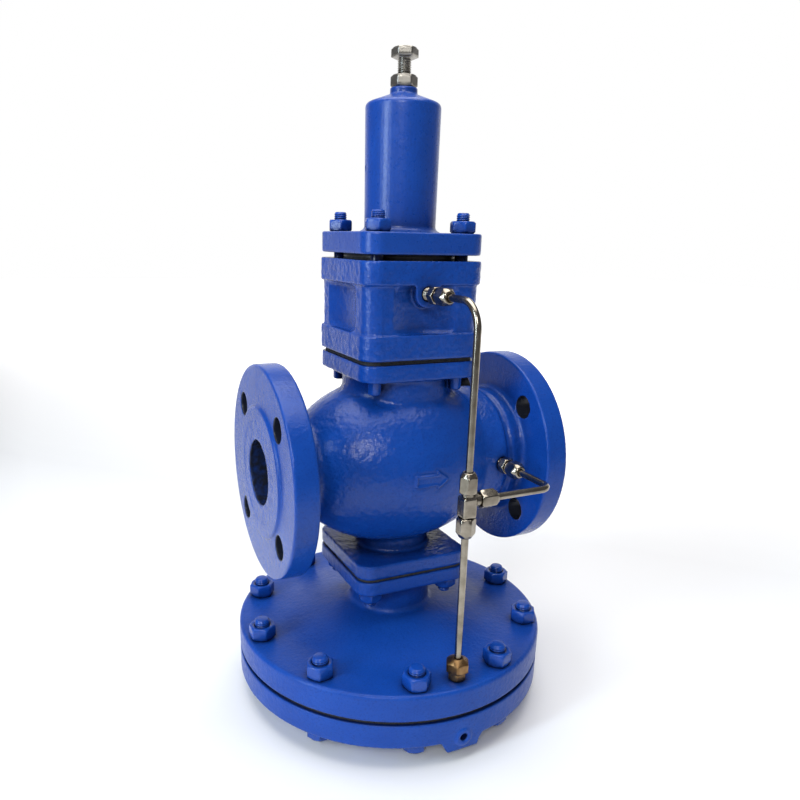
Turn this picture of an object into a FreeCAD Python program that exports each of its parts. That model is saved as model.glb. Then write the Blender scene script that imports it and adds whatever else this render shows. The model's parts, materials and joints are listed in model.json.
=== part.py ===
import FreeCAD, Part
import math
import os

# Pilot operated, diaphragm actuated steam pressure reducing valve, in millimetres.
# Origin: centre of the foot ring on the floor. +Z up, +X along the flow to the outlet,
# -Y is the front, where the control tubes are.

V = FreeCAD.Vector

# ---------------------------------------------------------------- driving dimensions
PIPE_Z = 200.0              # height of the pipe axis
FACE_TO_FACE = 230.0        # over the raised faces of the pipe flanges
FLANGE_R = 82.5             # pipe flange
FLANGE_BACK_X = 94.5
RAISED_R = 51.0
RAISED_H = 2.0
BORE_R = 25.0
PIPE_HOLE_R = {-1: 9.0, 1: 9.2}     # inlet and outlet, drilled separately
PIPE_PCD_R = 62.5
PIPE_HOLES = 4

GLOBE_X = 92.0              # half axes of the spheroid body, along and across the pipe
GLOBE_R = 68.0
WALL_X = 10.0               # its wall, along and across the pipe
WALL_R = 8.0
INLET_NECK_R = 38.0
HUB_R = 54.0                # swelling before the outlet flange, then a groove and a ring
HUB_END_X = 76.5
GROOVE_R = 48.5
GROOVE_X = 80.0
COLLAR_R = 51.5
COLLAR_X = 84.0
SEAM_R = {("Z", 1): 6.0, ("Z", -1): 3.0, ("X", -1): 10.0, ("X", 1): 10.0}   # fillets from globe to necks
ARROW_H = 1.2               # flow arrow, proud of the globe

SQUARE_HALF = 48.5          # the square flanges
BLOCK_HALF = 49.2           # pilot block
SQUARE_CORNER = 13.0
EDGE = 1.5                  # cast edges
STUD_XY = 34.5              # the four studs and the four flange bolts
STUD_R = 5.0                # M10
STUD_HOLE_R = 5.6
M10_AF = 17.0
NUT_H = 8.7
STUD_END = 5.8              # stud showing past its nut

CASE_R = 129.4              # diaphragm case
CHAMBER_R = 103.0
CASE_BOLTS = 10
CASE_PHASE = 2.0            # angle of the first case bolt, in degrees
CASE_BOLT_PCD_R = 116.0
CASE_BOLT_R = 6.0           # M12
CASE_HOLE_R = 6.75
M12_AF = 19.0
M12_NUT_H = 10.8

FOOT_IN_R = 62.0            # foot ring under the case, and the recess inside it
FOOT_OUT_R = 76.0
FOOT_RECESS_Z = 6.0
DISH_R = 97.0               # where the dish of the lower case meets its rim
FLOOR_Z = 14.0              # chamber floor
DRAIN_BOSS = [(-19.0, 22.0), (-13.0, 9.5), (13.0, 9.5), (19.0, 22.0)]    # (x, z) corners, below the rim
DRAIN_COLLAR_R = 6.5
LOWER_RIM_Z = 17.5
LOWER_TOP_Z = 37.2
SHEET = 1.0                 # case gaskets
UPPER_RIM_Z = 40.4
UPPER_PLATE_Z = 61.6
CONE_R = 95.0
CONE_TOP_Z = 74.5
CASE_NECK_R = 34.0
CEILING_Z = 68.0            # of the upper chamber
CEILING_R = 40.0
NECK_BUSH_R = 11.0
CASE_FLANGE_Z = 102.0
CASE_FLANGE_TOP_Z = 114.0
BODY_BASE_Z = 116.0
BODY_BASE_TOP_Z = 128.0
BLIND_TOP_Z = 125.0         # end of its tapped holes
TOP_NECK_R = 43.0
BASE_NECK_R = 31.0
BODY_TOP_FLANGE_Z = 272.5
BODY_TOP_Z = 285.5
BODY_MOUTH_R = 36.0
BLOCK_Z = 288.5
BLOCK_BAND_Z = 307.0
BLOCK_BAND2_Z = 341.7
BLOCK_TOP_Z = 359.0
BONNET_Z = 363.0
BONNET_FLANGE_TOP_Z = 378.5
BONNET_R = 27.0             # spring chamber, a little wider at the top
BONNET_TOP_R = 27.7
BONNET_BORE_R = 21.0
BONNET_CEILING_Z = 460.0
SHOULDER_Z = 467.5
CONE_END_Z = 474.0
BOSS_Z = 478.5
BOSS_R = 10.0

PLATE_R = 88.0              # plate that the main diaphragm pushes up
PLATE_TOP_Z = 52.0
STEM_FOOT_Z = 42.0
STEM_R = 6.0
RUN = 0.05                  # radial running clearance
LOOSE = 0.1                 # clearance between threads drawn as plain cylinders
SEAT_Z = 208.0
SEAT_RING_R = 24.0
SEAT_BORE_R = 20.0
GUIDE_R = 12.0              # stem guide pressed into the body
GUIDE_TOP_Z = 147.0
MAIN_COIL = (18.0, 2.0, 7.5)            # mean radius, wire radius, turns
PILOT_COIL = (4.2, 0.5, 5)
ADJUSTING_COIL = (15.0, 2.25, 8)
CONTROL_THREAD_R = 4.9
SENSE_THREAD_R = 5.9
BLEED_STEP_Y = -43.0        # bottom of the outlet connector's thread
SPRING_TOP_Z = 292.0
WEB_HALF = 4.0              # half the wall between the chambers
WEB_FLAT_X = 30.0           # its level part, and where its slopes end
WEB_END_X = 90.0
WEB_SLOPE = 44.0

PILOT_DIAPHRAGM_Z = 360.5
PILOT_DIAPHRAGM_T = 1.0
PILOT_SHEET_R = 42.5        # its diaphragm and gaskets, inside the studs
PILOT_SEAT_Z = 316.0
PORT_Z = 336.0              # control port in the front of the pilot block
PORT_HEX_Y = -56.0          # its connector stands off the block on bare thread
PORT_NUT_Y = -66.0
SENSE_Z = 349.0             # sensing port in its back
SCOOP_R = 60.0              # each waist recess is part of a wide upright cylinder
SCOOP_FLOOR = 41.0
SCOOP_LEDGE = 3.0
BOSS_ROOT = 38.0            # where the port bosses start, from the axis
PORT_BOSS_R = 10.0
SENSE_BOSS_R = 9.5
DUCT_R = 2.5                # drilled steam ducts
DUCT_X = 28.0
SPRING_RECESS_R = 23.0      # seat of the main spring, in the underside
PILOT_CHAMBER_R = 33.0
PILOT_CHAMBER_Z = 353.5
PLUG_R = 12.0
PLUG_TOP_Z = 297.5
PILOT_BORE_R = 10.0
PILOT_SEAT_R = 8.0
PUSH_ROD_R = 4.0
PLUNGER_Z = 308.0           # collar that the pilot spring pushes up
ROD_FOOT_Z = 330.0          # push rod on plunger

SEAT_DISC_Z = 366.0         # adjusting spring, lower and upper end
SPRING_SEAT_Z = 443.0
SPRING_PILOT_R = 11.0       # boss on each spring seat that centres the spring
LOWER_SEAT_R = 19.0
UPPER_SEAT_R = 18.0
SCREW_TIP_Z = 445.0
LOCK_NUT_TOP_Z = 486.8
SCREW_HEAD_Z = 498.2
SCREW_TOP_Z = 504.6
SCREW_TURN = -25.0          # how the head and the lock nut stand about the Z axis

FITTING_R = 4.5             # turned part of a fitting, and its bore
FITTING_BORE_R = 2.0
TUBE_R = 2.6
TUBE_BORE_R = 1.7
TUBE_Y = -115.0             # plane of the control tubes
TUBE_AF = 12.0
PORT_BEND = 19.0
BLEED_BEND = 9.5
TEE_Z = 201.3               # axis of the tee's branch
TEE_LOW_Z = 189.5
TEE_HIGH_Z = 205.0
TEE_HALF = 5.3
TEE_UP = 13.0               # reach of the tee's three arms
TEE_DOWN = 19.0
TEE_SIDE = 17.0
UPPER_NUT_Z = 207.5
BRANCH_NUT_X = 9.4
TEE_NUT_LENGTH = 15.0
SIDE_NUT_LENGTH = 13.0
HEX_LENGTH = 7.5            # a connector's hexagon, and the spigot its nut screws on
SPIGOT = 8.5
SOCKET = 5.0                # how deep a tube sits in its fitting
TUBE_GAP = 1.0              # left between a tube's end and the bottom of its socket
BRASS_HEX = 6.4
BRASS_SPIGOT = 4.4
BRASS_AF = 16.0
BRASS_STUB = 10.0
BRASS_NUT_LENGTH = 10.5
BLEED_X = 72.0
BLEED_HEX_Y = -55.0
BLEED_NUT_Y = -65.0
ORIFICE_R = 0.8
PASSAGE_R = 3.0
DRAIN_R = 2.4               # the inner part of the drain, behind its thread
DRAIN_THREAD = 12.0
DRAIN_Z = 20.4

VENT_ANGLE = 165.0
VENT_Z = 423.0
VENT_R = 2.2

UP = V(0, 0, 1)
FORWARD = V(0, -1, 0)
CASE_FITTING = V(0, TUBE_Y, UPPER_PLATE_Z)
CORNERS = [(sx * STUD_XY, sy * STUD_XY) for sx in (-1, 1) for sy in (-1, 1)]


# ---------------------------------------------------------------- helpers
def outline_edges(points, closed=True):
    """Straight edges through the points, with a tangent arc at each point that has a radius.
    A point is (vector, radius)."""
    count = len(points)
    ends = []
    for i in range(count):
        here, radius = points[i]
        if radius == 0 or (not closed and i in (0, count - 1)):
            ends.append((here, None, here))
            continue
        back = (points[i - 1][0] - here).normalize()
        ahead = (points[(i + 1) % count][0] - here).normalize()
        half = back.getAngle(ahead) / 2
        reach = radius / math.tan(half)
        middle = (back + ahead).normalize()
        crown = here + middle * (radius / math.sin(half) - radius)
        ends.append((here + back * reach, crown, here + ahead * reach))
    edges = []
    for i in range(count):
        start, crown, end = ends[i]
        if crown is not None:
            edges.append(Part.Arc(start, crown, end).toShape())
        if i == count - 1 and not closed:
            break
        following = ends[(i + 1) % count][0]
        if (following - end).Length > 1e-6:
            edges.append(Part.makeLine(end, following))
    return edges


def turned(profile, x=0.0, y=0.0):
    """A solid turned about the vertical through (x, y). The profile is (radius, z[, corner radius])."""
    points = [(V(p[0], 0, p[1]), p[2] if len(p) > 2 else 0.0) for p in profile]
    face = Part.Face(Part.Wire(outline_edges(points)))
    solid = face.revolve(V(0, 0, 0), V(0, 0, 1), 360)
    solid.translate(V(x, y, 0))
    return solid


def globe_x(half_x, radius, at_radius):
    """How far out along the pipe a spheroid has shrunk to at_radius."""
    return half_x * math.sqrt(1 - (at_radius / radius) ** 2)


def globe(half_x, radius, inlet, outlet):
    """A spheroid about the pipe axis that runs into a profile of (x, radius[, corner radius]) points
    at each end. Each profile starts on the spheroid and ends on the axis."""
    ends = []
    for profile in (inlet, outlet):
        start = (math.copysign(globe_x(half_x, radius, profile[0][1]), profile[-1][0]), profile[0][1])
        points = [start] + profile[1:]
        ends.append([(V(p[0], p[1], 0), p[2] if len(p) > 2 else 0.0) for p in points])
    ellipse = Part.Ellipse(V(0, 0, 0), half_x, radius)
    first, last = (ellipse.parameter(end[0][0]) for end in (ends[1], ends[0]))
    edges = [Part.ArcOfEllipse(ellipse, first, last).toShape()]
    for end in ends:
        edges += outline_edges(end, closed=False)
    edges.append(Part.makeLine(ends[0][-1][0], ends[1][-1][0]))
    face = Part.Face(Part.Wire(Part.__sortEdges__(edges)))
    solid = face.revolve(V(0, 0, 0), V(1, 0, 0), 360)
    solid.translate(V(0, 0, PIPE_Z))
    return solid


def cylinder(radius, low, high, x=0.0, y=0.0):
    return Part.makeCylinder(radius, high - low, V(x, y, low))


def drill(radius, start, end):
    """A round bar from one point to another."""
    run = end - start
    return Part.makeCylinder(radius, run.Length, start, run)


def ring(outer, inner, low, high):
    return cylinder(outer, low, high).cut(cylinder(inner, low, high))


def union(shapes):
    whole = shapes[0].multiFuse(shapes[1:])
    return whole.removeSplitter()


def without(shape, tools):
    for tool in tools:
        shape = shape.cut(tool)
    return shape


def square_plate(half, corner, low, high, edge=0.0, rounded=("low", "high")):
    """A square plate with round corners, and its named rims rounded by edge."""
    plate = Part.makeBox(2 * half, 2 * half, high - low, V(-half, -half, low))
    uprights = [e for e in plate.Edges if abs(e.Vertexes[0].Z - e.Vertexes[1].Z) > 1e-6]
    plate = plate.makeFillet(corner, uprights)
    if edge == 0:
        return plate
    levels = [{"low": low, "high": high}[name] for name in rounded]
    rims = [e for e in plate.Edges if e.BoundBox.ZLength < 1e-6 and
            any(abs(e.BoundBox.ZMin - level) < 1e-6 for level in levels)]
    return plate.makeFillet(edge, rims)


def hexagon(across, low, high, bore=0.0, chamfered=("low", "high")):
    """A hexagon about the Z axis, its corners cut back by a cone at the named ends."""
    corner_r = across / 2 / math.cos(math.pi / 6)
    corners = [V(corner_r * math.cos(math.radians(60 * i)), corner_r * math.sin(math.radians(60 * i)), low)
               for i in range(7)]
    prism = Part.Face(Part.makePolygon(corners)).extrude(V(0, 0, high - low))
    flat_r = across / 2 * 0.97
    drop = (corner_r + 0.2 - flat_r) * math.tan(math.radians(30))
    low_r = flat_r if "low" in chamfered else corner_r + 0.2
    high_r = flat_r if "high" in chamfered else corner_r + 0.2
    envelope = turned([(0, low), (low_r, low), (corner_r + 0.2, low + drop),
                       (corner_r + 0.2, high - drop), (high_r, high), (0, high)])
    nut = prism.common(envelope)
    if bore > 0:
        nut = nut.cut(cylinder(bore, low, high))
    return nut


def aim(shape, axis, place):
    """Turns a shape made along +Z so that it lies along axis, then moves its origin to place."""
    turn = FreeCAD.Rotation(V(0, 0, 1), axis)
    shape = shape.copy()
    shape.Placement = FreeCAD.Placement(place, turn)
    return shape


def at(shape, spots):
    """Separate copies of a shape at each (x, y) spot, or at (x, y, turn about Z)."""
    copies = []
    for spot in spots:
        copy = shape.copy()
        if len(spot) > 2:
            copy.rotate(V(0, 0, 0), V(0, 0, 1), spot[2])
        copy.translate(V(spot[0], spot[1], 0))
        copies.append(copy)
    return copies


def case_spots():
    """Centres of the case bolts, each with its own turn about Z."""
    spots = []
    for i in range(CASE_BOLTS):
        angle = CASE_PHASE + 360.0 / CASE_BOLTS * i
        x = CASE_BOLT_PCD_R * math.cos(math.radians(angle))
        y = CASE_BOLT_PCD_R * math.sin(math.radians(angle))
        spots.append((x, y, angle + 30))
    return spots


def holes(radius, low, high, spots):
    return [cylinder(radius, low, high, spot[0], spot[1]) for spot in spots]


def coil(size, low, high):
    """A helical compression spring between two seats."""
    mean_r, wire_r, turns = size
    pitch = (high - low - 2 * wire_r) / turns
    helix = Part.makeHelix(pitch, high - low - 2 * wire_r, mean_r)
    section = Part.Wire(Part.makeCircle(wire_r, V(mean_r, 0, 0), V(0, 1, 0)))
    spring = Part.Wire(helix).makePipeShell([section], True, True)
    spring.translate(V(0, 0, low + wire_r))
    return spring


def bent_tube(points, bend):
    """A hollow tube along straight runs joined by tangent arcs of radius bend."""
    path = Part.Wire(outline_edges([(p, bend) for p in points], closed=False))
    start = points[0]
    along = points[1] - points[0]
    walls = []
    for radius in (TUBE_R, TUBE_BORE_R):
        section = Part.Wire(Part.makeCircle(radius, start, along))
        walls.append(path.makePipeShell([section], True, False))
    return walls[0].cut(walls[1])


# ---------------------------------------------------------------- diaphragm case
def port_passage():
    """The control passage through both rims, and the cross hole into the lower chamber."""
    down = cylinder(PASSAGE_R, DRAIN_Z, UPPER_PLATE_Z, 0, TUBE_Y)
    thread_end = -CASE_R + DRAIN_THREAD - 1
    thread = drill(PASSAGE_R, V(0, -CASE_R - 3, DRAIN_Z), V(0, thread_end, DRAIN_Z))
    across = drill(DRAIN_R, V(0, thread_end, DRAIN_Z), V(0, -CHAMBER_R + 12, DRAIN_Z))
    return [down, thread, across]


def lower_diaphragm_case():
    shell = turned([(0, FOOT_RECESS_Z), (FOOT_IN_R - 2, FOOT_RECESS_Z), (FOOT_IN_R, 0, 1),
                    (FOOT_OUT_R, 0, 2), (FOOT_OUT_R + 4, 8, 6), (DISH_R, LOWER_RIM_Z, 4),
                    (CASE_R, LOWER_RIM_Z, 2), (CASE_R, LOWER_TOP_Z, 1), (CHAMBER_R, LOWER_TOP_Z),
                    (CHAMBER_R, FLOOR_Z * 2, 6), (CHAMBER_R - 11, FLOOR_Z + 1, 6), (0, FLOOR_Z)])
    outline = [V(x, -CASE_R, z) for x, z in DRAIN_BOSS + DRAIN_BOSS[:1]]
    boss = Part.Face(Part.makePolygon(outline)).extrude(V(0, CASE_R - DISH_R + 8, 0))
    boss = boss.common(cylinder(CASE_R, 0, LOWER_TOP_Z))
    boss = boss.cut(cylinder(DISH_R - 4, 0, LOWER_TOP_Z))
    collar = drill(DRAIN_COLLAR_R, V(0, -CASE_R - 1, DRAIN_Z), V(0, -CASE_R + 6, DRAIN_Z))
    solid = union([shell, boss, collar])
    solid = without(solid, holes(CASE_HOLE_R, 0, LOWER_TOP_Z, case_spots()))
    return without(solid, port_passage())


def case_gasket(low, inner):
    sheet = ring(CASE_R - 3, inner, low, low + SHEET)
    sheet = without(sheet, holes(CASE_HOLE_R, low, low + SHEET, case_spots()))
    return sheet.cut(cylinder(PASSAGE_R, low, low + SHEET, 0, TUBE_Y))


def lower_case_gasket():
    return case_gasket(LOWER_TOP_Z, CHAMBER_R + 1)


def upper_case_gasket():
    return case_gasket(UPPER_RIM_Z - SHEET, CHAMBER_R + 1)


def main_diaphragm():
    """Two thin sheets, one on the other, clamped at the rim."""
    low = LOWER_TOP_Z + SHEET
    high = UPPER_RIM_Z - SHEET
    middle = (low + high) / 2
    sheets = []
    for bottom, top in ((low, middle), (middle, high)):
        sheet = cylinder(CASE_R - 3, bottom, top)
        sheet = without(sheet, holes(CASE_HOLE_R, bottom, top, case_spots()))
        sheets.append(sheet.cut(cylinder(PASSAGE_R, bottom, top, 0, TUBE_Y)))
    return Part.makeCompound(sheets)


def upper_diaphragm_case():
    bush_r = NECK_BUSH_R
    shell = turned([(bush_r, CEILING_Z), (CEILING_R, CEILING_Z), (CONE_R, UPPER_PLATE_Z - 5.6, 4),
                    (CHAMBER_R, UPPER_PLATE_Z - 11.6, 4), (CHAMBER_R, UPPER_RIM_Z),
                    (CASE_R, UPPER_RIM_Z, 1), (CASE_R, UPPER_PLATE_Z, 3),
                    (CONE_R, UPPER_PLATE_Z, 60), (CASE_NECK_R, CONE_TOP_Z, 5),
                    (CASE_NECK_R, CASE_FLANGE_Z + 2), (bush_r, CASE_FLANGE_Z + 2)])
    flange = square_plate(SQUARE_HALF, SQUARE_CORNER, CASE_FLANGE_Z, CASE_FLANGE_TOP_Z, EDGE)
    solid = union([shell, flange])
    solid = solid.cut(cylinder(bush_r, CASE_FLANGE_Z, CASE_FLANGE_TOP_Z))
    solid = without(solid, holes(CASE_HOLE_R, UPPER_RIM_Z, UPPER_PLATE_Z + 1, case_spots()))
    solid = without(solid, holes(STUD_HOLE_R, CASE_FLANGE_Z, CASE_FLANGE_TOP_Z, CORNERS))
    solid = without(solid, port_passage()[:1])
    thread = cylinder(CONTROL_THREAD_R, UPPER_PLATE_Z - 12, UPPER_PLATE_Z, 0, TUBE_Y)
    return solid.cut(thread)


def case_bolts():
    head = hexagon(M12_AF, LOWER_RIM_Z - 7.5, LOWER_RIM_Z, chamfered=("low",))
    top = UPPER_PLATE_Z + M12_NUT_H + 5
    shank = turned([(0, LOWER_RIM_Z - 1), (CASE_BOLT_R, LOWER_RIM_Z - 1), (CASE_BOLT_R, top - 0.4, 2),
                    (0, top)])
    return Part.makeCompound(at(union([head, shank]), case_spots()))


def case_nuts():
    nut = hexagon(M12_AF, UPPER_PLATE_Z, UPPER_PLATE_Z + M12_NUT_H, CASE_BOLT_R + LOOSE)
    return Part.makeCompound(at(nut, case_spots()))


def diaphragm_plate():
    low = UPPER_RIM_Z - SHEET
    return turned([(0, low), (PLATE_R, low, 2), (PLATE_R, low + 5, 2), (22, low + 5, 4),
                   (20, PLATE_TOP_Z, 1), (STUD_R + LOOSE, PLATE_TOP_Z),
                   (STUD_R + LOOSE, STEM_FOOT_Z), (0, STEM_FOOT_Z)])


def stem_lock_nut():
    return hexagon(M10_AF, PLATE_TOP_Z, PLATE_TOP_Z + 8, STUD_R + LOOSE)


def main_stem():
    shoulder = PLATE_TOP_Z + 8
    top = SEAT_Z + 28
    return turned([(0, STEM_FOOT_Z), (STUD_R, STEM_FOOT_Z), (STUD_R, shoulder), (STEM_R, shoulder + 0.5),
                   (STEM_R, SEAT_Z - 8), (STUD_R, SEAT_Z - 8), (STUD_R, top, 1), (0, top)])


def neck_bush():
    return ring(NECK_BUSH_R, STEM_R + RUN, CEILING_Z + 4, CASE_FLANGE_TOP_Z - 4)


def case_flange_gasket():
    sheet = square_plate(SQUARE_HALF - 2, SQUARE_CORNER - 2, CASE_FLANGE_TOP_Z, BODY_BASE_Z)
    sheet = sheet.cut(cylinder(15, CASE_FLANGE_TOP_Z, BODY_BASE_Z))
    return without(sheet, holes(STUD_HOLE_R, CASE_FLANGE_TOP_Z, BODY_BASE_Z, CORNERS))


def case_flange_studs():
    """Screwed up into blind holes in the body, with their nuts below."""
    low = CASE_FLANGE_Z - NUT_H - STUD_END
    high = BLIND_TOP_Z - 1
    stud = turned([(0, low), (STUD_R, low, 1.2), (STUD_R, high, 0.8), (0, high)])
    return Part.makeCompound(at(stud, CORNERS))


def case_flange_nuts():
    nut = hexagon(M10_AF, CASE_FLANGE_Z - NUT_H, CASE_FLANGE_Z, STUD_R + LOOSE)
    return Part.makeCompound(at(nut, [(x, y, 15) for x, y in CORNERS]))


# ---------------------------------------------------------------- valve body
def body_shell():
    """The outside of the casting: globe, pipe flanges, necks, the two square flanges and a flow arrow."""
    half = FACE_TO_FACE / 2
    face_x = half - RAISED_H
    flange = [(FLANGE_BACK_X, FLANGE_R, 1.5), (face_x, FLANGE_R, 1.5), (face_x, RAISED_R),
              (half, RAISED_R, 0.5), (half, 0)]
    inlet = [(0, INLET_NECK_R), (-FLANGE_BACK_X, INLET_NECK_R, 5)] + [(-p[0],) + p[1:] for p in flange]
    outlet = [(0, HUB_R), (HUB_END_X, HUB_R, 5), (GROOVE_X, GROOVE_R, 3), (COLLAR_X, COLLAR_R, 2.5),
              (FLANGE_BACK_X, COLLAR_R, 4)] + flange
    top_neck = turned([(0, PIPE_Z), (TOP_NECK_R, PIPE_Z), (TOP_NECK_R, BODY_TOP_FLANGE_Z, 3),
                       (TOP_NECK_R + 4, BODY_TOP_FLANGE_Z), (TOP_NECK_R + 4, BODY_TOP_FLANGE_Z + 1),
                       (0, BODY_TOP_FLANGE_Z + 1)])
    base_neck = turned([(0, PIPE_Z), (BASE_NECK_R, PIPE_Z), (BASE_NECK_R, BODY_BASE_TOP_Z, 2),
                        (BASE_NECK_R + 3, BODY_BASE_TOP_Z), (BASE_NECK_R + 3, BODY_BASE_TOP_Z - 1),
                        (0, BODY_BASE_TOP_Z - 1)])
    shell = union([globe(GLOBE_X, GLOBE_R, inlet, outlet), top_neck, base_neck])
    for radius, about, upward in ((TOP_NECK_R, "Z", 1), (BASE_NECK_R, "Z", -1), (INLET_NECK_R, "X", -1),
                                  (HUB_R, "X", 1)):
        shell = shell.makeFillet(SEAM_R[about, upward], globe_seam(shell, radius, about, upward))
    base = square_plate(SQUARE_HALF, SQUARE_CORNER, BODY_BASE_Z, BODY_BASE_TOP_Z, EDGE)
    top = square_plate(SQUARE_HALF, SQUARE_CORNER, BODY_TOP_FLANGE_Z, BODY_TOP_Z, EDGE)
    return union([shell, base, top, flow_arrow()])


def globe_seam(shell, radius, about, upward):
    """The edges where the globe meets a neck of this radius about Z or X, on its + or - side."""
    found = []
    for edge in shell.Edges:
        if edge.Degenerated:
            continue
        fits = True
        for p in edge.discretize(9):
            height = p.z - PIPE_Z
            on_globe = abs((p.x / GLOBE_X) ** 2 + (p.y ** 2 + height ** 2) / GLOBE_R ** 2 - 1) < 1e-3
            off_axis = math.hypot(p.x, p.y) if about == "Z" else math.hypot(p.y, height)
            along = height if about == "Z" else p.x
            fits = fits and on_globe and abs(off_axis - radius) < 0.01 and along * upward > 0
        if fits:
            found.append(edge)
    return found


def flow_arrow():
    """A flat arrow that stands a little proud of the globe's front and points to the outlet."""
    tail, neck, tip = -14.8, 3.5, 13.9
    shaft, head = 4.8, 7.8
    outline = [(tail, -shaft), (neck, -shaft), (neck, -head), (tip, 0), (neck, head), (neck, shaft),
               (tail, shaft), (tail, -shaft)]
    middle = PIPE_Z + 0.8
    face = Part.Face(Part.makePolygon([V(x, 0, middle + z) for x, z in outline]))
    prism = face.extrude(V(0, -GLOBE_R - 10, 0)).cut(cylinder(GLOBE_R / 2, middle - 20, middle + 20))
    tip_x = GLOBE_X + ARROW_H
    return prism.common(globe(tip_x, GLOBE_R + ARROW_H, [(0, 1), (-tip_x, 0)], [(0, 1), (tip_x, 0)]))


def web():
    """The wall between the inlet and outlet chambers. It is level at the seat and slopes to the bores."""
    line = [(-WEB_END_X, PIPE_Z - WEB_SLOPE), (-WEB_FLAT_X, PIPE_Z), (WEB_FLAT_X, PIPE_Z),
            (WEB_END_X, PIPE_Z + WEB_SLOPE)]
    side = GLOBE_R + 2
    top = [V(x, -side, z + WEB_HALF) for x, z in line]
    bottom = [V(x, -side, z - WEB_HALF) for x, z in reversed(line)]
    return Part.Face(Part.makePolygon(top + bottom + top[:1])).extrude(V(0, 2 * side, 0))


def valve_body():
    reach = FACE_TO_FACE / 2
    bores = [[(0, BORE_R), (end, BORE_R), (end, 0)] for end in (-reach, reach)]
    hollow = globe(GLOBE_X - WALL_X, GLOBE_R - WALL_R, *bores)
    hollow = hollow.fuse(cylinder(BODY_MOUTH_R, PIPE_Z, BODY_TOP_Z))
    solid = body_shell().cut(hollow.cut(web()))
    cuts = [cylinder(SEAT_RING_R, PIPE_Z - 6, PIPE_Z + 6), cylinder(GUIDE_R, BODY_BASE_Z, GUIDE_TOP_Z + 3)]
    cuts += holes(STUD_R + RUN, BODY_BASE_Z, BLIND_TOP_Z, CORNERS)
    cuts += holes(STUD_R + RUN, BODY_TOP_FLANGE_Z, BODY_TOP_Z, CORNERS)
    for i in range(PIPE_HOLES):
        angle = math.radians(45 + 360.0 / PIPE_HOLES * i)
        y = PIPE_PCD_R * math.cos(angle)
        z = PIPE_Z + PIPE_PCD_R * math.sin(angle)
        for side, radius in PIPE_HOLE_R.items():
            cuts.append(drill(radius, V(side * (reach + 1), y, z), V(side * (FLANGE_BACK_X - 12), y, z)))
    cuts.append(drill(CONTROL_THREAD_R, V(BLEED_X, -HUB_R - 3, TEE_Z), V(BLEED_X, BLEED_STEP_Y, TEE_Z)))
    cuts.append(drill(FITTING_BORE_R, V(BLEED_X, BLEED_STEP_Y, TEE_Z), V(BLEED_X, -BORE_R + 5, TEE_Z)))
    return without(solid, cuts)


def stem_guide_bush():
    return ring(GUIDE_R, STEM_R + RUN, BODY_BASE_Z + 1, GUIDE_TOP_Z)


def seat_ring():
    inner, outer, low = SEAT_BORE_R, SEAT_RING_R, SEAT_Z - 14
    return turned([(inner, low), (outer, low), (outer, PIPE_Z + WEB_HALF), (outer + 4, PIPE_Z + WEB_HALF),
                   (outer + 4, SEAT_Z - 1), (outer + 3, SEAT_Z), (inner + 1, SEAT_Z), (inner, SEAT_Z - 1)])


def main_valve_head():
    skirt, disc, boss = SEAT_BORE_R - 0.5, SEAT_RING_R + 2, 14
    return turned([(STUD_R + LOOSE, SEAT_Z - 8), (skirt, SEAT_Z - 8), (skirt, SEAT_Z), (disc, SEAT_Z, 1),
                   (disc, SEAT_Z + 8, 2), (boss, SEAT_Z + 8), (boss, SEAT_Z + 15, 1),
                   (STUD_R + LOOSE, SEAT_Z + 15)])


def valve_head_nut():
    return hexagon(M10_AF, SEAT_Z + 15, SEAT_Z + 23, STUD_R + LOOSE)


def main_spring():
    return coil(MAIN_COIL, SEAT_Z + 8, SPRING_TOP_Z)


def body_gasket():
    sheet = square_plate(SQUARE_HALF - 3, SQUARE_CORNER - 3, BODY_TOP_Z, BLOCK_Z)
    sheet = sheet.cut(cylinder(BODY_MOUTH_R, BODY_TOP_Z, BLOCK_Z))
    return without(sheet, holes(STUD_HOLE_R, BODY_TOP_Z, BLOCK_Z, CORNERS))


# ---------------------------------------------------------------- pilot block
def scoop():
    """The cutter of the front recess: an upright round with sloped ends."""
    slope = SCOOP_R - SCOOP_LEDGE
    return turned([(0, BLOCK_BAND_Z), (slope, BLOCK_BAND_Z), (SCOOP_R, BLOCK_BAND_Z + SCOOP_LEDGE, 3),
                   (SCOOP_R, BLOCK_BAND2_Z - SCOOP_LEDGE, 3), (slope, BLOCK_BAND2_Z), (0, BLOCK_BAND2_Z)],
                  0, -SCOOP_FLOOR - SCOOP_R)


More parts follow.
